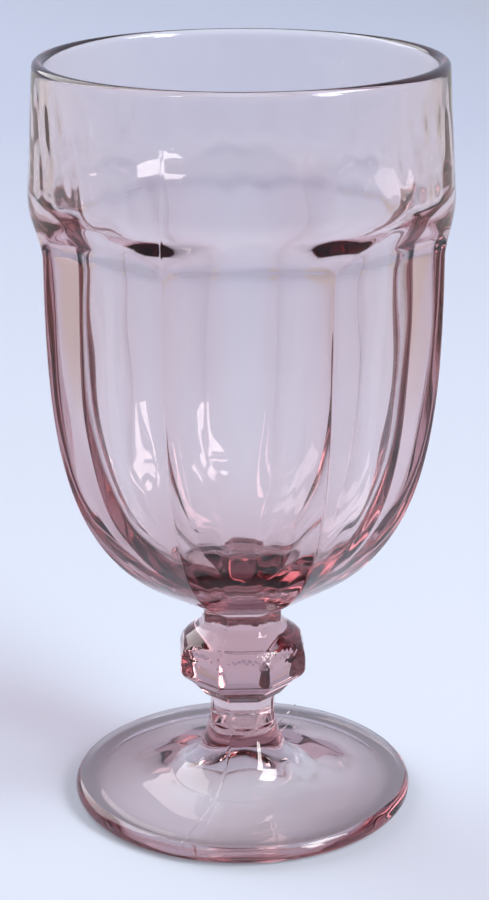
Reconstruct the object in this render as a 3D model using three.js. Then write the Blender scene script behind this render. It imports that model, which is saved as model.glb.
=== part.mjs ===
// A footed iced tea glass of heavy pressed glass: a deep bowl with eight flat panels under a smooth
// drinking band, and a short stem of collar, knop and collar on a round foot. Millimetres, +Z up, standing
// on z = 0 with the glass's axis on Z and the middle of one panel facing -Y. The real glass is pressed in
// one piece: each mesh here is one of the sections that a glassmaker names, and neighbours meet face to face.

import * as THREE from "three";
import { mergeVertices } from "three/addons/utils/BufferGeometryUtils.js";

// Heights along the axis
const glassHeight = 171.5;
const footHeight = 17.2;
const lowerCollarLength = 6;
const knopLength = 20.2;
const upperCollarLength = 4.4;
const lowerCollarBottom = footHeight;
const knopBottom = lowerCollarBottom + lowerCollarLength;
const upperCollarBottom = knopBottom + knopLength;
const bowlBottom = upperCollarBottom + upperCollarLength;

// Panels
const panelCount = 8;
const halfPanel = Math.PI / panelCount; // angle from the middle of a panel to its ridge
const flatShare = Math.cos(halfPanel); // a flat panel's distance from the axis, as a share of its ridge's

// Bowl
const rimRadius = 44.5;
const lipThickness = 2.4;
const bandHeight = 29; // smooth band, from the rim down to its lower edge
const bandEdgeRadius = 46.2;
const ridgeTopRadius = 45.8; // ridges where the panels are full, under the shoulder
const shoulderHeight = 10; // the run over which the panels sink in below the band
const baseRadius = 10.4; // ridges of the bowl where it meets the stem
const bowlBendHeight = 41; // how far the ridges stay upright before the bowl turns in
const baseInset = 1.9; // how far short of the upright ridges the bottom of the bowl aims as it spreads
const baseRise = 12.6;
const floorThickness = 11.3; // solid glass between the bowl's floor and the stem
const bandWall = 4; // wall of the smooth band at its lower edge
const panelWall = 3.7; // wall at the middle of a panel
const innerStepDrop = 6.1; // the sloping step inside the bowl, level with the band's edge
const innerUpright = 3; // upright run under that step
const innerBendHeight = 46;
const floorSpread = 0.4; // how far past the upright inner wall the floor's curve aims

// Stem
const upperCollarRadius = 9.4; // ridges
const upperCollarFlare = 1.4; // length of the curve that spreads the collar out to the bowl
const knopRadius = 15.4; // ridges of its upright belt
const knopBeltBulge = 0.1; // the belt's middle stands proud of its edges
const knopFootRadius = 9.3; // where the curve up from the lower collar ends
const knopFootCurve = 2.4; // heights of the parts of the knop, from its foot up
const knopFlankRadius = 12.1; // where the slope under the belt bends
const knopFlankHeight = 3.2;
const knopUnderHeight = 2.6;
const knopBeltHeight = 4.6;
const knopShoulderRadius = 13.3; // between the bevel over the belt and the dome
const knopBevelHeight = 3.3;
const knopDomeRadius = 10.2; // where the dome curves into the upper collar
const knopDomeHeight = 2.3;
const knopDomeFullness = 0.05; // the dome is nearly round
const knopFade = 0.6; // the facets run out a little past the dome's edges
const lowerCollarRadius = 7.8; // ridges

// Foot
const footRadius = 39.1;
const footEdgeThickness = 4.5;
const flareRadius = 17; // where the stem's flare ends on the plate
const flareHeight = 5.15;
const flareUpper = [9, 12.8]; // radius and height of the two points that draw the flare's curve
const flareLower = [11.3, 6.8];
const restWidth = 2.6; // flat ring that the glass stands on
const recessStep = 0.35; // rise from the resting ring to the underside
const recessStepWidth = 2;
const recessDepth = 10; // underside at the axis, above the table: hollow under the stem
const recessInner = 5; // these draw the hollow's curve
const recessOuter = [11, 0.9];

// Facets
const roundSegments = 64; // round the bowl and the foot, a multiple of the panels
const stemSegments = 32;
const bowlCurveSteps = 16;
const shoulderSteps = 6;
const lipSteps = 6;
const smallCurveSteps = 4;
const bevelSteps = 3;
const flareSteps = 10;
const hollowSteps = 10;
const edgeSteps = 8;

const point = (radius, height) => new THREE.Vector2(radius, height);
const line = (...ends) => ends.map(([radius, height]) => point(radius, height));
const run = (steps, from, to) => new THREE.LineCurve(point(...from), point(...to)).getPoints(steps);
const bend = (steps, ...controls) =>
  new THREE.QuadraticBezierCurve(...controls.map((control) => point(...control))).getPoints(steps);
const sweep = (steps, ...controls) =>
  new THREE.CubicBezierCurve(...controls.map((control) => point(...control))).getPoints(steps);
const arc = (steps, centre, radius, from, to) =>
  new THREE.EllipseCurve(centre[0], centre[1], radius, radius, from, to, to < from).getPoints(steps);

// The runs of an outline joined end to end, without the points that two runs share.
function outline(...runs) {
  return runs.flat().filter((p, i, all) => i === 0 || p.distanceToSquared(all[i - 1]) > Number.EPSILON);
}

// Angle from the middle of the panel that faces this way.
function angleInPanel(azimuth) {
  const panel = 2 * halfPanel;
  return azimuth - panel * Math.round(azimuth / panel);
}

// An outline turned about Z. shareAt gives, for a point of the outline, how far in the flat panels lie as a
// share of the outline's own radius: 1 leaves it round.
function turned(profile, segments, shareAt) {
  const geometry = new THREE.LatheGeometry(profile, segments).rotateX(Math.PI / 2);
  const place = geometry.getAttribute("position");
  for (let i = 0; i < place.count; i++) {
    const share = shareAt(profile[i % profile.length], i % profile.length);
    const azimuth = Math.atan2(place.getX(i), -place.getY(i));
    const cut = Math.min(1, share / Math.cos(angleInPanel(azimuth)));
    place.setXY(i, place.getX(i) * cut, place.getY(i) * cut);
  }
  geometry.deleteAttribute("normal");
  geometry.deleteAttribute("uv");
  const closed = mergeVertices(geometry);
  closed.computeVertexNormals();
  return closed;
}

const round = () => 1;
const panelled = () => flatShare;

// Bowl: its outside runs up from the stem to the rim, then its inside runs down to the floor.
function bowlGeometry() {
  const bandEdge = glassHeight - bandHeight;
  const shoulderFoot = bandEdge - shoulderHeight;
  const lipRadius = lipThickness / 2;
  const lipCentre = [rimRadius - lipRadius, glassHeight - lipRadius];
  const innerRimRadius = rimRadius - lipThickness;
  const innerBandRadius = bandEdgeRadius - bandWall;
  const innerPanelRadius = ridgeTopRadius * flatShare - panelWall;
  const innerStepFoot = bandEdge - innerStepDrop;
  const floorHeight = bowlBottom + floorThickness;

  const wall = sweep(
    bowlCurveSteps,
    [baseRadius, bowlBottom],
    [ridgeTopRadius - baseInset, bowlBottom + baseRise],
    [ridgeTopRadius, shoulderFoot - bowlBendHeight],
    [ridgeTopRadius, shoulderFoot],
  );
  const shoulder = run(shoulderSteps, [ridgeTopRadius, shoulderFoot], [bandEdgeRadius, bandEdge]);
  const lip = arc(lipSteps, lipCentre, lipRadius, 0, Math.PI);
  const outside = outline(line([0, bowlBottom]), wall, shoulder, lip);
  const inside = outline(
    line([innerRimRadius, lipCentre[1]], [innerBandRadius, bandEdge], [innerPanelRadius, innerStepFoot]),
    sweep(
      bowlCurveSteps,
      [innerPanelRadius, innerStepFoot - innerUpright],
      [innerPanelRadius, innerStepFoot - innerBendHeight],
      [innerPanelRadius + floorSpread, floorHeight],
      [0, floorHeight],
    ),
  );
  // The panels are full below the shoulder and run out over it: the band and the whole inside stay round.
  const shareAt = (p, i) => {
    if (i >= outside.length - lip.length) return 1;
    const rise = THREE.MathUtils.clamp((p.y - shoulderFoot) / shoulderHeight, 0, 1);
    return THREE.MathUtils.lerp(flatShare, 1, rise * rise * (1 + (1 - rise)));
  };
  return turned(outline(outside, inside), roundSegments, shareAt);
}

// Upper collar: eight-sided, spreading at its top to the base of the bowl.
function upperCollarGeometry() {
  const top = upperCollarBottom + upperCollarLength;
  const flareFoot = top - upperCollarFlare;
  const profile = outline(
    line([0, upperCollarBottom], [upperCollarRadius, upperCollarBottom]),
    bend(smallCurveSteps, [upperCollarRadius, flareFoot], [upperCollarRadius, top], [baseRadius, top]),
    line([0, top]),
  );
  return turned(profile, stemSegments, panelled);
}

// Knop: a bulb with an eight-sided upright belt, a slope under it, and a bevel and a round dome over it.
function knopGeometry() {
  const top = knopBottom + knopLength;
  const footTop = knopBottom + knopFootCurve;
  const flankTop = footTop + knopFlankHeight;
  const beltBottom = flankTop + knopUnderHeight;
  const beltTop = beltBottom + knopBeltHeight;
  const domeFoot = beltTop + knopBevelHeight;
  const domeTop = domeFoot + knopDomeHeight;
  const beltMiddle = (beltTop + beltBottom) / 2;
  const profile = outline(
    line([0, knopBottom]),
    bend(
      smallCurveSteps,
      [lowerCollarRadius, knopBottom],
      [lowerCollarRadius, footTop],
      [knopFootRadius, footTop],
    ),
    line([knopFlankRadius, flankTop]),
    bend(
      smallCurveSteps,
      [knopRadius - knopBeltBulge, beltBottom],
      [knopRadius + knopBeltBulge, beltMiddle],
      [knopRadius - knopBeltBulge, beltTop],
    ),
    run(bevelSteps, [knopRadius - knopBeltBulge, beltTop], [knopShoulderRadius, domeFoot]),
    run(bevelSteps, [knopShoulderRadius, domeFoot], [knopDomeRadius, domeTop]),
    bend(
      smallCurveSteps,
      [knopDomeRadius, domeTop],
      [upperCollarRadius, domeTop + knopFade],
      [upperCollarRadius, top],
    ),
    line([0, top]),
  );
  // The facets are full up to the belt's top and in the collar's root, and fade out on the dome between them.
  const shareAt = (p) => {
    const intoDome = THREE.MathUtils.smoothstep(p.y, beltTop, domeFoot + knopFade);
    const outOfDome = THREE.MathUtils.smoothstep(top - p.y, 0, top - domeTop + knopFade);
    const roundness = Math.min(intoDome, outOfDome) * (1 - knopDomeFullness);
    return THREE.MathUtils.lerp(flatShare, 1, roundness);
  };
  return turned(profile, stemSegments, shareAt);
}

// Lower collar: the short eight-sided neck between the knop and the foot.
function lowerCollarGeometry() {
  const top = lowerCollarBottom + lowerCollarLength;
  const profile = line(
    [0, lowerCollarBottom],
    [lowerCollarRadius, lowerCollarBottom],
    [lowerCollarRadius, top],
    [0, top],
  );
  return turned(profile, stemSegments, panelled);
}

// Foot: a round plate that flares up to the stem, with a shallow underside that rises in a hollow below it.
function footGeometry() {
  const edgeRound = footEdgeThickness / 2;
  const edgeCentre = [footRadius - edgeRound, edgeRound];
  const restInner = edgeCentre[0] - restWidth;
  const recessRadius = restInner - recessStepWidth;
  const profile = outline(
    sweep(hollowSteps, [0, recessDepth], [recessInner, recessDepth], recessOuter, [recessRadius, recessStep]),
    line([restInner, 0]),
    arc(edgeSteps, edgeCentre, edgeRound, -Math.PI / 2, Math.PI / 2),
    sweep(flareSteps, [flareRadius, flareHeight], flareLower, flareUpper, [lowerCollarRadius, footHeight]),
    line([0, footHeight]),
  );
  return turned(profile, roundSegments, round);
}

// Pale rose-mauve glass, a little deeper where it is thick.
function glass(colour) {
  return new THREE.MeshStandardMaterial({
    color: colour,
    roughness: 0.05,
    metalness: 0,
    transparent: true,
    opacity: 0.5,
  });
}

const icedTeaGlass = new THREE.Group();
const sections = [
  ["foot", footGeometry, "#c9aeb6"],
  ["lower_collar", lowerCollarGeometry, "#b98f98"],
  ["knop", knopGeometry, "#b98f98"],
  ["upper_collar", upperCollarGeometry, "#b98f98"],
  ["bowl", bowlGeometry, "#cfb9c4"],
];
for (const [name, makeGeometry, colour] of sections) {
  const section = new THREE.Mesh(makeGeometry(), glass(colour));
  section.name = name;
  icedTeaGlass.add(section);
}

export default icedTeaGlass;
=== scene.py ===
# A footed iced tea glass of pale rose pressed glass, on pale paper under soft studio lamps.
# Sizes in the dictionaries are in millimetres and degrees; the meshes are made in metres.
import math

import bpy
import numpy as np
from mathutils import Matrix, Vector


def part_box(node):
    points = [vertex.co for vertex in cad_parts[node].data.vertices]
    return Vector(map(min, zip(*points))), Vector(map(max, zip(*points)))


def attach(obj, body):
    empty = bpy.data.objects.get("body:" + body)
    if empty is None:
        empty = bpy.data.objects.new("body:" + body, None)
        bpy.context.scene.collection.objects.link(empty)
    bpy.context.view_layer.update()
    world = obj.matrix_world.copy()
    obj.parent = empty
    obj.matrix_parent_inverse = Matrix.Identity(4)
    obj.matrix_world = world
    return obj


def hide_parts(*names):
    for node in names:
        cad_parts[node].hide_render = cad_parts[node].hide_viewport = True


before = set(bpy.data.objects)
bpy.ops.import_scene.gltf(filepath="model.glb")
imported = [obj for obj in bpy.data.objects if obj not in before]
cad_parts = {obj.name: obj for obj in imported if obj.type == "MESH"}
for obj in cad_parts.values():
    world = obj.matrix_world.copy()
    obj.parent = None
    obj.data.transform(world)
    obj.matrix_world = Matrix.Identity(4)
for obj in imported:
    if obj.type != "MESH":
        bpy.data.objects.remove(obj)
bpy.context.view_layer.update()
print("frame loaded:", len(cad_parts), "CAD nodes")

mm = 0.001
panelCount = 8
panelAngle = 360 / panelCount
halfPanel = math.pi / panelCount  # from the middle of a panel to its ridge, in radians
jointGap = 0.01  # between the flat ends of two neighbouring sections
samePoint = 1e-4  # points closer than this are one point
plainStep = 0.8  # longest step along a straight run, where a piece doesn't set its own
tiny = 1e-12  # keeps a division from failing


def spanOf(node):
    low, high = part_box(node)
    return low.z / mm, high.z / mm


def radiusOf(node):
    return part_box(node)[1].x / mm


# Outlines are arrays of points (distance from the axis, height).
def curve(steps, *controls):
    t = np.linspace(0, 1, steps + 1)[:, None]
    points = [np.array(control, float) for control in controls]
    while len(points) > 1:
        points = [a * (1 - t) + b * t for a, b in zip(points, points[1:])]
    return points[0]


def arc(steps, centre, radius, start, end):
    angles = np.radians(np.linspace(start, end, steps + 1))
    across = centre[0] + radius * np.cos(angles)
    return np.stack([across, centre[1] + radius * np.sin(angles)], axis=1)


def straight(start, end, stepLength=plainStep):
    steps = max(1, math.ceil(np.linalg.norm(np.array(end) - start) / stepLength))
    return curve(steps, start, end)


# Straight runs through corners (distance, height, rounding). The first and last corner have no rounding.
def cornered(corners, stepLength=plainStep, cornerSteps=5):
    places = [np.array(corner[:2], float) for corner in corners]
    run = [places[0][None]]
    for before, here, after, corner in zip(places, places[1:], places[2:], corners[1:]):
        back, on = before - here, after - here
        cut = min(corner[2], np.linalg.norm(back) / 2, np.linalg.norm(on) / 2)
        start = here + back / np.linalg.norm(back) * cut
        end = here + on / np.linalg.norm(on) * cut
        run.append(straight(run[-1][-1], start, stepLength))
        run.append(curve(cornerSteps, start, here, end))
    run.append(straight(run[-1][-1], places[-1], stepLength))
    return joined(*run)


def joined(*runs):
    points = np.concatenate(runs)
    keep = np.ones(len(points), bool)
    keep[1:] = np.linalg.norm(np.diff(points, axis=0), axis=1) > samePoint
    return points[keep]


def smoothStep(t):
    t = np.clip(t, 0, 1)
    return t * t * (3 - 2 * t)


# Foot: stands on a ring, with a shallow hollow inside it.
foot = {
    "edgeThickness": 4.5,
    "stemRootRadius": 7.8,  # under the lower collar
    "flareRadius": 17,  # where the stem's flare ends on the plate
    "flareHeight": 5.15,
    "flareUpper": (9, 12.8),  # these two draw the flare's curve
    "flareLower": (11.3, 6.8),
    "restWidth": 2.6,
    "recessStep": 0.35,
    "recessStepWidth": 2.0,
    "recessDepth": 10,
    "recessInner": 5,  # these two draw the hollow, which rises under the stem
    "recessOuter": (11, 0.9),
    "recessRound": 0.8,
    "hollowSteps": 40,
    "edgeSteps": 18,
    "flareSteps": 36,
}


def footOutline():
    bottom, top = spanOf("foot")
    edgeRound = foot["edgeThickness"] / 2
    edgeCentre = (radiusOf("foot") - edgeRound, edgeRound)
    restInner = edgeCentre[0] - foot["restWidth"]
    recessRadius = restInner - foot["recessStepWidth"]
    flareFoot = (foot["flareRadius"], foot["flareHeight"])
    hollow = curve(foot["hollowSteps"], (0, foot["recessDepth"]),
                   (foot["recessInner"], foot["recessDepth"]), foot["recessOuter"],
                   (recessRadius, foot["recessStep"]))
    step = cornered([hollow[-2], (*hollow[-1], foot["recessRound"]),
                     (restInner, bottom, foot["recessRound"] / 2), (edgeCentre[0], bottom)])
    edge = arc(foot["edgeSteps"], edgeCentre, edgeRound, -90, 90)
    plate = straight(edge[-1], flareFoot)
    flare = curve(foot["flareSteps"], flareFoot, foot["flareLower"], foot["flareUpper"],
                  (foot["stemRootRadius"], top))
    return joined(hollow[:-2], step, edge, plate, flare)


# Lower collar: the short neck under the knop.
lowerCollar = {"radius": 7.8, "rootRise": 1.2, "rootRound": 0.5, "step": 0.5}


def lowerCollarOutline():
    bottom, top = spanOf("lower_collar")
    root = (foot["stemRootRadius"], bottom)
    shaft = (lowerCollar["radius"], bottom + lowerCollar["rootRise"], lowerCollar["rootRound"])
    return cornered([root, shaft, (lowerCollar["radius"], top)], lowerCollar["step"])


# Knop: an upright belt between two slopes, each curving into its collar.
knop = {
    "beltRadius": 15.4,
    "beltFoot": 8.2,  # heights above the knop's foot
    "beltTop": 12.8,
    "beltBulge": 0.1,
    "beltRound": 1.3,
    "bulgeRound": 1.6,
    "bevelRound": 0.5,
    "underRadius": 12.1,  # where the slope under the belt bends
    "underHeight": 5.6,
    "underRound": 1.2,
    "footRadius": 9.3,
    "footHeight": 2.4,
    "shoulderRadius": 13.3,  # between the belt's upper bevel and the dome
    "shoulderHeight": 16.1,
    "shoulderRound": 0.5,
    "domeRadius": 10.2,
    "domeHeight": 18.4,
    "domeFullness": 0.05,  # the dome is nearly round
    "domeFade": 0.6,  # how far past the dome its roundness fades
    "headRise": 0.6,  # draws the curve from the dome to the upper collar
    "curveSteps": 10,
    "step": 0.4,
}


def knopOutline():
    bottom, top = spanOf("knop")
    edge = knop["beltRadius"] - knop["beltBulge"]
    beltMiddle = (knop["beltFoot"] + knop["beltTop"]) / 2
    footTop = bottom + knop["footHeight"]
    domeTop = (knop["domeRadius"], bottom + knop["domeHeight"])
    root = curve(knop["curveSteps"], (lowerCollar["radius"], bottom), (lowerCollar["radius"], footTop),
                 (knop["footRadius"], footTop))
    belt = cornered([root[-1],
                     (knop["underRadius"], bottom + knop["underHeight"], knop["underRound"]),
                     (edge, bottom + knop["beltFoot"], knop["beltRound"]),
                     (knop["beltRadius"], bottom + beltMiddle, knop["bulgeRound"]),
                     (edge, bottom + knop["beltTop"], knop["bevelRound"]),
                     (knop["shoulderRadius"], bottom + knop["shoulderHeight"], knop["shoulderRound"]),
                     domeTop], knop["step"])
    head = curve(knop["curveSteps"], domeTop, (upperCollar["radius"], domeTop[1] + knop["headRise"]),
                 (upperCollar["radius"], top))
    return joined(root, belt, head)


# Upper collar: spreads at its top to the base of the bowl.
upperCollar = {"radius": 9.4, "flare": 1.4, "topRadius": 10.4, "flareSteps": 8, "step": 0.4}


def upperCollarOutline():
    bottom, top = spanOf("upper_collar")
    radius = upperCollar["radius"]
    flareFoot = (radius, top - upperCollar["flare"])
    shaft = straight((radius, bottom), flareFoot, upperCollar["step"])
    flare = curve(upperCollar["flareSteps"], flareFoot, (radius, top), (upperCollar["topRadius"], top))
    return joined(shaft, flare)


# Bowl: eight panels under a smooth drinking band, round inside.
bowl = {
    "rimRadius": 44.5,
    "lipThickness": 2.8,
    "bandHeight": 29,
    "bandEdgeRound": 0.5,
    "ridgeRadius": 45.8,
    "shoulderHeight": 10,  # the run over which the panels sink in below the band
    "bendHeight": 41,  # these three draw the wall's curve in to the stem
    "baseSpread": 43.9,
    "baseRise": 12.6,
    "floorThickness": 11.3,
    "innerBandRadius": 42.2,
    "innerStepDrop": 6.1,
    "innerStepRound": 2.6,
    "innerPanelRadius": 38.6,
    "innerUpright": 3,  # upright run under the inner step
    "innerBendHeight": 46,  # these two draw the curve inside, down to the floor
    "floorReach": 39,
    "wallSteps": 50,
    "edgeSteps": 8,
    "lipSteps": 14,
    "innerEdgeSteps": 10,
    "innerSteps": 80,
    "bandStep": 1,
    "innerBandStep": 1.4,
}


# Also says how many of the points are on the outside.
def bowlOutline():
    bottom, top = spanOf("bowl")
    bandEdge = top - bowl["bandHeight"]
    shoulderFoot = bandEdge - bowl["shoulderHeight"]
    lipRadius = bowl["lipThickness"] / 2
    lipCentre = (bowl["rimRadius"] - lipRadius, top - lipRadius)
    floor = bottom + bowl["floorThickness"]
    stepFoot = bandEdge - bowl["innerStepDrop"]
    wall = curve(bowl["wallSteps"], (upperCollar["topRadius"], bottom),
                 (bowl["baseSpread"], bottom + bowl["baseRise"]),
                 (bowl["ridgeRadius"], shoulderFoot - bowl["bendHeight"]),
                 (bowl["ridgeRadius"], shoulderFoot))
    shoulder = cornered([wall[-1], (radiusOf("bowl"), bandEdge, bowl["bandEdgeRound"]),
                         (bowl["rimRadius"], lipCentre[1])], bowl["bandStep"], bowl["edgeSteps"])
    lip = arc(bowl["lipSteps"], lipCentre, lipRadius, 0, 180)
    inner = curve(bowl["innerSteps"], (bowl["innerPanelRadius"], stepFoot - bowl["innerUpright"]),
                  (bowl["innerPanelRadius"], stepFoot - bowl["innerBendHeight"]),
                  (bowl["floorReach"], floor), (0, floor))
    step = cornered([lip[-1], (bowl["innerBandRadius"], bandEdge, bowl["innerStepRound"]),
                     (bowl["innerPanelRadius"], stepFoot, bowl["innerStepRound"]), inner[0]],
                    bowl["innerBandStep"], bowl["innerEdgeSteps"])
    outside = joined(wall, shoulder, lip)
    return joined(outside, step, inner), len(outside)


# The whole glass is one outline, from the hollow under the foot to the floor inside the bowl.
sectionNames = ["foot", "lower_collar", "knop", "upper_collar", "bowl"]
bowlPoints, bowlOutside = bowlOutline()
outlines = [footOutline(), lowerCollarOutline(), knopOutline(), upperCollarOutline(), bowlPoints]
outline = joined(*outlines)
ends = [0]
for points in outlines:
    ends.append(ends[-1] + len(points) - 1)
outsideEnd = ends[-2] + bowlOutside  # past it the outline runs down the inside of the bowl
bandEdgeHeight = spanOf("bowl")[1] - bowl["bandHeight"]
print("outline:", len(outline), "points")


# How full the flat panels are at each point of the outline: 0 is round, 1 flat.
def panelFullness():
    heights = outline[:, 1]
    shoulderFoot = bandEdgeHeight - bowl["shoulderHeight"]
    rise = np.clip((heights - shoulderFoot) / bowl["shoulderHeight"], 0, 1)
    full = 1 - rise * rise * (2 - rise)
    full[:ends[1] + 1] = 0
    neck = slice(ends[1], ends[2] + 1)  # the lower collar
    full[neck] = smoothStep((heights[neck] - spanOf("lower_collar")[0]) / lowerCollar["rootRise"])
    knopFoot, knopTop = spanOf("knop")
    beltToDome = knop["shoulderHeight"] - knop["beltTop"] + knop["domeFade"]
    domeToTop = knopTop - knopFoot - knop["domeHeight"] + knop["domeFade"]
    intoDome = smoothStep((heights - knopFoot - knop["beltTop"]) / beltToDome)
    outOfDome = smoothStep((knopTop - heights) / domeToTop)
    dome = np.minimum(intoDome, outOfDome) * (1 - knop["domeFullness"])
    full[ends[2]:ends[3] + 1] = 1 - dome[ends[2]:ends[3] + 1]
    full[outsideEnd:] = 0
    return full


ridges = {
    "bowlRound": 1.3,
    "stemRound": 1.6,
    "roundFade": 30,  # height over which one turns into the other
    "roundLimit": 0.5,  # as a share of the distance from the axis
    "blend": 0.35,  # between the panels and the round parts
    "blendLimit": 0.125,  # as a share of the distance from the axis
    "leastBlend": 1e-6,
}


def ridgeRounding():
    t = smoothStep((outline[:, 1] - spanOf("upper_collar")[0]) / ridges["roundFade"])
    return ridges["stemRound"] + (ridges["bowlRound"] - ridges["stemRound"]) * t


# Angles from a ridge to the middle of a panel, closest together at the ridge.
columnAngles = [0, 0.12, 0.25, 0.4, 0.6, 0.85, 1.2, 1.7, 2.4, 3.3, 4.4, 5.6, 6.8, 8, 9.2, 10.4, 11.6,
                12.8, 14, 15.2, 16.4, 17.6, 18.8, 20, 21.25]


# Angles are measured from the front, which faces -Y, towards +X.
def azimuths():
    half = np.array(columnAngles)
    cell = np.concatenate([half, [panelAngle / 2], panelAngle - half[:0:-1]])
    first = panelAngle * np.arange(panelCount) - panelAngle / 2
    return np.radians((first[:, None] + cell[None]).ravel())


def softMin(a, b, blend):
    h = np.clip(0.5 + 0.5 * (b - a) / blend, 0, 1)
    return b * (1 - h) + a * h - blend * h * (1 - h)


# Distances from the axis at every angle, one row for each point of the outline.
def ringRadii(angles):
    radius = outline[:, :1]
    full = panelFullness()[:, None]
    rounding = np.minimum(ridgeRounding()[:, None], radius * ridges["roundLimit"])
    blend = np.minimum(ridges["blend"], radius * ridges["blendLimit"]) + ridges["leastBlend"]
    fromMiddle = np.abs((angles + halfPanel) % (2 * halfPanel) - halfPanel)[None]
    fromRidge = halfPanel - fromMiddle
    flat = (radius - rounding) * math.cos(halfPanel) + rounding  # to the middle of a panel
    flat = flat + (radius + blend - flat) * (1 - full)
    centre = (flat - rounding) / math.cos(halfPanel)  # of the ridge's rounding
    turn = np.arctan2(rounding * math.sin(halfPanel), centre + rounding * math.cos(halfPanel))
    across = rounding ** 2 - (centre * np.sin(fromRidge)) ** 2
    ridge = centre * np.cos(fromRidge) + np.sqrt(np.maximum(across, 0))
    panelled = np.where(fromRidge < turn, ridge, flat / np.cos(fromMiddle))
    return softMin(panelled, radius + blend * full, blend)


def unit(vectors):
    return vectors / np.maximum(np.linalg.norm(vectors, axis=2, keepdims=True), tiny)


def gridNormals(grid):
    right = np.roll(grid, -1, axis=1)
    faces = unit(np.cross(right[:-1] - grid[1:], right[1:] - grid[:-1]))
    faces = faces + np.roll(faces, 1, axis=1)
    normals = np.zeros_like(grid)
    normals[:-1] += faces
    normals[1:] += faces
    return unit(normals)


# Mould seams: two fine raised lines down opposite ridges, outside only, from the foot's edge to the lip.
seams = {
    "azimuths": (-22.5, 157.5),
    "height": 0.1,
    "halfWidth": 0.22,
    "fade": 1.5,
    "bandShare": 0.3,  # worn down on the smooth band
}


def seamRise(angles, radii):
    heights = outline[:, 1]
    edgeAt = np.argmax(outline[:ends[1], 0])
    lipFoot = spanOf("bowl")[1] - bowl["lipThickness"]
    above = smoothStep((heights - heights[edgeAt]) / seams["fade"])
    above[:edgeAt] = 0
    below = smoothStep((lipFoot - heights) / seams["fade"])
    below *= 1 - (1 - seams["bandShare"]) * smoothStep((heights - bandEdgeHeight) / seams["fade"])
    below[outsideEnd:] = 0
    rise = np.zeros_like(radii)
    for azimuth in seams["azimuths"]:
        away = np.abs((angles - math.radians(azimuth) + math.pi) % (2 * math.pi) - math.pi)
        rise += np.exp(-((radii * away[None] / seams["halfWidth"]) ** 2))
    return rise * seams["height"] * (above * below)[:, None]


# Pressed glass is never quite even: each place has waves of its own, in millimetres off the true shape.
# around counts the waves round the glass, along is their length down it.
waves = {
    "inside": {"height": 0.05, "around": (5, 30), "along": (25, 90), "count": 14, "seed": 3},
    "panels": {"height": 0.03, "around": (6, 26), "along": (40, 150), "count": 12, "seed": 5},
    "band": {"height": 0.03, "around": (26, 60), "along": (9, 30), "count": 14, "seed": 21},
    "foot": {"height": 0.06, "around": (2, 9), "along": (9, 24), "count": 12, "seed": 8},
    "bevel": {"height": 0.035, "around": (18, 75), "along": (1.1, 3), "count": 40, "seed": 13},
}
# Lengths over which the waves die out, and margins that stay even.
waveFades = {"lip": 12, "axis": 16, "bowlBase": 15, "band": 6, "bandMargin": 4, "footHub": 14,
             "footEdge": 6, "footMargin": 5, "bevel": 0.5}


def fading(name, distance):
    return smoothStep(distance / waveFades[name])


def wavesOf(wave, angles, run):
    random = np.random.default_rng(wave["seed"])
    count = wave["count"]
    arounds = random.integers(*wave["around"], count, endpoint=True)
    lengths = random.uniform(*wave["along"], count)
    phases = random.uniform(0, 2 * math.pi, count)
    ways = random.choice((-1, 1), count)
    total = np.zeros((len(run), len(angles)))
    for around, length, phase, way in zip(arounds, lengths, phases, ways):
        total += np.cos(around * angles[None] + way * 2 * math.pi * run[:, None] / length + phase)
    return total * wave["height"] / math.sqrt(count / 2)


def unevenness(angles):
    radius, height = outline[:, 0], outline[:, 1]
    run = np.concatenate([[0], np.cumsum(np.linalg.norm(np.diff(outline, axis=0), axis=1))])
    at = np.arange(len(outline))
    inside = at >= outsideEnd
    onPanels = (at >= ends[4]) & (at < outsideEnd)
    inKnop = (at >= ends[2]) & (at <= ends[3])
    knopFoot = spanOf("knop")[0]
    top = spanOf("bowl")[1]
    belowLip = fading("lip", top - bowl["lipThickness"] * 2 - height)
    underRim = fading("band", top - waveFades["bandMargin"] - height)
    offHub = fading("footHub", radius)
    offEdge = fading("footEdge", radiusOf("foot") - waveFades["footMargin"] - radius)
    aboveBelt = fading("bevel", height - knopFoot - knop["beltTop"])
    underDome = fading("bevel", knopFoot + knop["shoulderHeight"] - height)
    shares = {
        "inside": inside * belowLip * fading("axis", radius),
        "panels": onPanels * belowLip * fading("bowlBase", height - height[ends[4]]),
        "band": inside * underRim * fading("band", height - bandEdgeHeight),
        "foot": (at < ends[1]) * offHub * offEdge,
        "bevel": inKnop * aboveBelt * underDome,
    }
    return sum(share[:, None] * wavesOf(waves[name], angles, run) for name, share in shares.items())


def glassSkin():
    angles = azimuths()
    radii = ringRadii(angles)
    heights = np.repeat(outline[:, 1:], len(angles), axis=1)
    grid = np.stack([radii * np.sin(angles), -radii * np.cos(angles), heights], axis=2)
    rise = seamRise(angles, radii) + unevenness(angles)
    grid += gridNormals(grid) * rise[:, :, None]
    return grid, gridNormals(grid)


glassLook = {
    "ior": 1.5,
    "absorbs": (0.5, 0.0, 0.05),  # what is left of red, green and blue
    "perMetre": 35,
    "lampShare": 0.92,  # of the lamps' light that each surface of the bowl and stem lets through
    "footShare": 0.99,  # the flat foot lets more through
    "edgeShare": 0.6,  # and its edge bends it away
    "edgeFrom": 31,
    "edgeTo": 35,
}


def lampShares(name, rows):
    radius = np.linalg.norm(rows[:-1, :, :2], axis=2)
    if name != "foot":
        return np.full_like(radius, glassLook["lampShare"])
    edge = smoothStep((radius - glassLook["edgeFrom"]) / (glassLook["edgeTo"] - glassLook["edgeFrom"]))
    return glassLook["footShare"] + (glassLook["edgeShare"] - glassLook["footShare"]) * edge


def addFaceValues(mesh, name, *values):
    attribute = mesh.attributes.new(name, "FLOAT", "FACE")
    attribute.data.foreach_set("value", np.concatenate(values))


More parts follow.
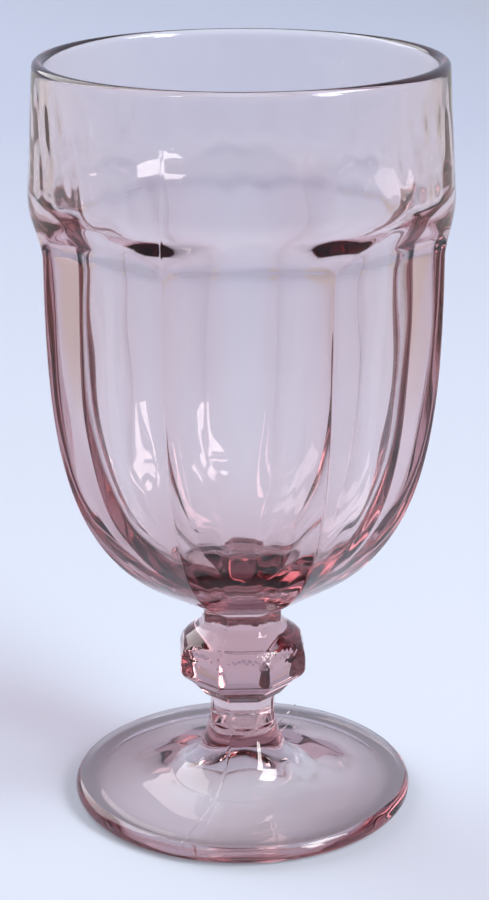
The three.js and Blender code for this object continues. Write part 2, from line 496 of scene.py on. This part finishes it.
# One section as a closed piece: rings of points, and a fan of triangles over each end. A fan is flat where
# the section meets its neighbour, and closes the skin to a point where that reaches the axis.
def sectionMesh(name, grid, normals, first, last):
    rows = grid[first:last + 1].copy()
    shade = normals[first:last + 1]
    meetsStart = np.max(np.abs(rows[0, :, :2])) > samePoint
    meetsEnd = np.max(np.abs(rows[-1, :, :2])) > samePoint
    rows[0, :, 2] += meetsStart * jointGap / 2
    rows[-1, :, 2] -= meetsEnd * jointGap / 2
    poles = [(0, 0, rows[0, 0, 2]), (0, 0, rows[-1, 0, 2])]
    ringed = slice(0 if meetsStart else 1, None if meetsEnd else -1)
    rows, shade = rows[ringed], shade[ringed].reshape(-1, 3)
    count, around = rows.shape[:2]
    verts = np.concatenate([rows.reshape(-1, 3), poles]) * mm
    at = np.arange(count * around).reshape(count, around)
    beside = np.roll(at, -1, axis=1)
    quads = np.stack([at[:-1], beside[:-1], beside[1:], at[1:]], axis=2).reshape(-1, 4)
    startFan = np.stack([np.full(around, len(verts) - 2), beside[0], at[0]], axis=1)
    endFan = np.stack([np.full(around, len(verts) - 1), at[-1], beside[-1]], axis=1)
    mesh = bpy.data.meshes.new(name)
    mesh.from_pydata(verts.tolist(), [], quads.tolist() + startFan.tolist() + endFan.tolist())
    mesh.validate()
    mesh.polygons.foreach_set("use_smooth", np.ones(len(mesh.polygons), bool))
    cornerNormals = [shade[quads.ravel()], fanNormals(startFan, shade, meetsStart, -1),
                     fanNormals(endFan, shade, meetsEnd, 1)]
    mesh.normals_split_custom_set(np.concatenate(cornerNormals).tolist())
    addFaceValues(mesh, "joint", np.zeros(len(quads)), np.full(around, float(meetsStart)),
                  np.full(around, float(meetsEnd)))
    addFaceValues(mesh, "lampShare", lampShares(name, rows).ravel(),
                  np.full(around * 2, glassLook["lampShare"]))
    return mesh


def fanNormals(fan, shade, isFlat, up):
    if isFlat:
        return np.tile((0.0, 0.0, up), (fan.size, 1))
    normals = shade[fan[:, [1, 1, 2]].ravel()]
    normals[::3] = (0, 0, np.sign(normals[1, 2]))  # at the pole
    return normals


# Small helpers for the shaders. A value is a number, a colour or another node's output.
def plug(tree, socket, value):
    if isinstance(value, bpy.types.NodeSocket):
        tree.links.new(value, socket)
    else:
        socket.default_value = value


def mathNode(tree, operation, *values):
    node = tree.nodes.new("ShaderNodeMath")
    node.operation = operation
    for socket, value in zip(node.inputs, values):
        plug(tree, socket, value)
    return node.outputs[0]


def rampNode(tree, value, start, end, low=0, high=1, way="SMOOTHSTEP"):
    node = tree.nodes.new("ShaderNodeMapRange")
    node.interpolation_type = way
    node.inputs["From Min"].default_value = start
    node.inputs["From Max"].default_value = end
    node.inputs["To Min"].default_value = low
    node.inputs["To Max"].default_value = high
    tree.links.new(value, node.inputs["Value"])
    return node.outputs["Result"]


def mixNode(tree, share, a, b):
    node = tree.nodes.new("ShaderNodeMix")
    node.data_type = "RGBA"
    for name, value in (("Factor", share), ("A", a), ("B", b)):
        plug(tree, node.inputs[name], value)
    return node.outputs["Result"]


def attributeNode(tree, name):
    node = tree.nodes.new("ShaderNodeAttribute")
    node.attribute_name = name
    return node.outputs["Fac"]


def axisNodes(tree, coordinates):
    coords = tree.nodes.new("ShaderNodeTexCoord")
    split = tree.nodes.new("ShaderNodeSeparateXYZ")
    tree.links.new(coords.outputs[coordinates], split.inputs[0])
    return split.outputs


# Clear at the flat joints, and lets most of the lamps' light through to the paper.
def roseGlass():
    material = bpy.data.materials.new("rose_glass")
    material.use_nodes = True
    tree = material.node_tree
    shader = tree.nodes["Principled BSDF"]
    shader.inputs["Base Color"].default_value = (1, 1, 1, 1)
    shader.inputs["Roughness"].default_value = 0
    shader.inputs["IOR"].default_value = glassLook["ior"]
    shader.inputs["Transmission Weight"].default_value = 1
    tint = tree.nodes.new("ShaderNodeVolumeAbsorption")
    tint.inputs["Color"].default_value = (*glassLook["absorbs"], 1)
    tint.inputs["Density"].default_value = glassLook["perMetre"]
    rays = tree.nodes.new("ShaderNodeLightPath")
    lamplight = mathNode(tree, "MULTIPLY", rays.outputs["Is Shadow Ray"], attributeNode(tree, "lampShare"))
    clear = mathNode(tree, "MAXIMUM", attributeNode(tree, "joint"), lamplight)
    tree.links.new(mathNode(tree, "SUBTRACT", 1, clear), shader.inputs["Alpha"])
    tree.links.new(tint.outputs["Volume"], tree.nodes["Material Output"].inputs["Volume"])
    return material


def makeGlass():
    grid, normals = glassSkin()
    material = roseGlass()
    for name, first, last in zip(sectionNames, ends, ends[1:]):
        mesh = sectionMesh(name, grid, normals, first, last)
        mesh.materials.append(material)
        piece = bpy.data.objects.new("glass_" + name, mesh)
        bpy.context.collection.objects.link(piece)
        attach(piece, "root")
        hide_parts(name)
        print(piece.name, len(mesh.polygons), "faces")


makeGlass()

# Pale paper that the glass stands on. Its tone changes over a stretch far off, where it is painted darker
# as painted shade for the lamps' light falling off, at the sides, and near the camera; from and to are
# distances from the glass.
paper = {
    "front": 1000,
    "back": 1450,
    "width": 4000,
    "drop": 0.1,  # under the resting plane
    "colour": (0.72, 0.77, 0.895),
    # painted shade: the paper is painted darker far off, standing in for the lamps' light falling away
    "far": {"colour": (0.565, 0.615, 0.77), "from": 50, "to": 850, "way": "LINEAR"},
    "sides": {"colour": (0.62, 0.605, 0.60), "from": 190, "to": 420, "way": "SMOOTHSTEP"},
    # painted shade: the paper is painted darker near the camera, standing in for shade falling there
    "near": {"colour": (0.33, 0.35, 0.43), "from": 170, "to": 420, "way": "SMOOTHSTEP"},
    "roughness": 0.9,
    "specular": 0.1,
}


def paperMaterial():
    material = bpy.data.materials.new("paper")
    material.use_nodes = True
    tree = material.node_tree
    shader = tree.nodes["Principled BSDF"]
    axes = axisNodes(tree, "Object")
    distances = {
        "far": axes["Y"],
        "sides": mathNode(tree, "ABSOLUTE", axes["X"]),
        "near": mathNode(tree, "MULTIPLY", axes["Y"], -1),
    }
    tone = (*paper["colour"], 1)
    # far and near mix in painted shade; sides mix in a beige tone
    for name, distance in distances.items():
        change = paper[name]
        share = rampNode(tree, distance, change["from"] * mm, change["to"] * mm, way=change["way"])
        tone = mixNode(tree, share, tone, (*change["colour"], 1))
    tree.links.new(tone, shader.inputs["Base Color"])
    shader.inputs["Roughness"].default_value = paper["roughness"]
    shader.inputs["Specular IOR Level"].default_value = paper["specular"]
    return material


def makePaper():
    half, front, back = paper["width"] / 2, -paper["front"], paper["back"]
    corners = [(-half, front), (half, front), (half, back), (-half, back)]
    mesh = bpy.data.meshes.new("paper")
    mesh.from_pydata([(x * mm, y * mm, -paper["drop"] * mm) for x, y in corners], [], [(0, 1, 2, 3)])
    mesh.materials.append(paperMaterial())
    sheet = bpy.data.objects.new("paper", mesh)
    bpy.context.collection.objects.link(sheet)
    print("paper laid")


makePaper()

# Camera, nearly in front of the middle of one panel.
camera = {
    "azimuth": -2.2,
    "distance": 483.48,  # from the axis
    "height": 246.7,
    "pitch": 18.639,
    "yaw": 0.07,
    "roll": -0.09,
    "focalPixels": 2273.9,
    "framePixels": 900,  # height of the frame
    "sensor": 24,
    "clipStart": 10,
}


def makeCamera():
    data = bpy.data.cameras.new("camera")
    data.sensor_fit = "VERTICAL"
    data.sensor_height = camera["sensor"]
    data.lens = camera["focalPixels"] / camera["framePixels"] * camera["sensor"]
    data.clip_start = camera["clipStart"] * mm
    eye = bpy.data.objects.new("camera", data)
    bpy.context.collection.objects.link(eye)
    turn = math.radians(camera["azimuth"])
    across, back = math.sin(turn) * camera["distance"], -math.cos(turn) * camera["distance"]
    look = Matrix.Rotation(turn - math.radians(camera["yaw"]), 4, "Z")
    look = look @ Matrix.Rotation(math.radians(90 - camera["pitch"]), 4, "X")
    look = look @ Matrix.Rotation(math.radians(camera["roll"]), 4, "Z")
    eye.matrix_world = Matrix.Translation(Vector((across, back, camera["height"])) * mm) @ look
    bpy.context.scene.camera = eye
    print("camera placed")


makeCamera()

# Lamps: towards is the way from the glass to the lamp, as the camera sees it (right, away, up).
lamps = {
    "key": {"towards": (0.66, -0.24, 0.71), "distance": 2400, "size": (930, 930), "radiance": 12.5},
    "window": {"towards": (0.755, -0.656, 0.44), "distance": 4800, "size": (1040, 2600),
               "radiance": 14.5},
    "side": {"towards": (-0.62, 0.5, 0.58), "distance": 2600, "size": (2000, 2400), "radiance": 3.4},
}
aim = (0, 0, 100)  # the lamps face this point


def makeLamp(name, lamp):
    data = bpy.data.lights.new(name, "AREA")
    data.shape = "RECTANGLE"
    data.size, data.size_y = (side * mm for side in lamp["size"])
    data.energy = lamp["radiance"] * math.pi * data.size * data.size_y
    facing = Matrix.Rotation(math.radians(camera["azimuth"]), 3, "Z")
    away = facing @ Vector(lamp["towards"]).normalized()
    source = bpy.data.objects.new(name, data)
    bpy.context.collection.objects.link(source)
    source.location = Vector(aim) * mm + away * lamp["distance"] * mm
    source.rotation_euler = away.to_track_quat("Z", "Y").to_euler()
    print("lamp lit:", name)


for name, lamp in lamps.items():
    makeLamp(name, lamp)

# The room round the lamps: a pale backdrop behind the glass, a dimmer band low all round, and dark above
# and in front. The backdrop's places are shares of straight back, +Y, the others of straight up.
room = {
    "backdrop": (0.53, 0.58, 0.73),
    "dark": (0.035, 0.035, 0.035),
    "backdropFrom": 0.1,
    "backdropFull": 0.5,
    "topFrom": 0.5,  # where the backdrop starts to darken
    "topFull": 0.85,
    "lowFrom": 0.12,  # where the low band starts to darken
    "lowFull": 0.25,
    "lowShare": 0.6,  # how pale that band is
}


def makeRoom():
    world = bpy.data.worlds.new("room")
    world.use_nodes = True
    tree = world.node_tree
    axes = axisNodes(tree, "Generated")
    behind = rampNode(tree, axes["Y"], room["backdropFrom"], room["backdropFull"])
    belowTop = rampNode(tree, axes["Z"], room["topFrom"], room["topFull"], low=1, high=0)
    lowBand = rampNode(tree, axes["Z"], room["lowFrom"], room["lowFull"], low=room["lowShare"], high=0)
    pale = mathNode(tree, "MAXIMUM", mathNode(tree, "MULTIPLY", behind, belowTop), lowBand)
    colour = mixNode(tree, pale, (*room["dark"], 1), (*room["backdrop"], 1))
    tree.links.new(colour, tree.nodes["Background"].inputs["Color"])
    bpy.context.scene.world = world
    print("room made")


makeRoom()

scene = bpy.context.scene
scene.view_settings.view_transform = "Standard"
scene.cycles.max_bounces = 32
scene.cycles.transmission_bounces = 32
scene.cycles.glossy_bounces = 16
scene.cycles.transparent_max_bounces = 64
scene.cycles.use_denoising = True
scene.cycles.caustics_reflective = False
scene.cycles.caustics_refractive = False
